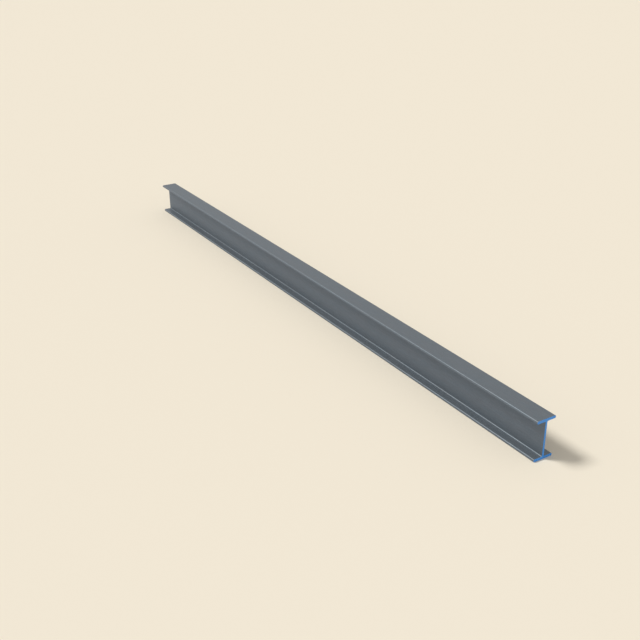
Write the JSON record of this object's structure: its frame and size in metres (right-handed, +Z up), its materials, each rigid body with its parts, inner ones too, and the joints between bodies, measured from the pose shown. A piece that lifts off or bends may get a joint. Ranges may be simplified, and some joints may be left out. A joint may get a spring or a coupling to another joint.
{
  "type": "rolled steel i-beam",
  "caption": "Straight length of hot-rolled steel I-beam with parallel flanges and filleted roots, lying on its lower flange, one sawn end painted blue.",
  "frame": {"origin": "under the middle of the beam, on the underside of the lower flange", "axes": "+X along the beam towards the blue-painted end, +Y across the flanges, +Z up the web"},
  "size_m": [6, 0.155, 0.3],
  "materials": {
    "mill_scale_steel": "satin",
    "blue_end_paint": "satin"
  },
  "bodies": {
    "root": {"i_beam": "mill_scale_steel"}
  },
  "joints": []
}
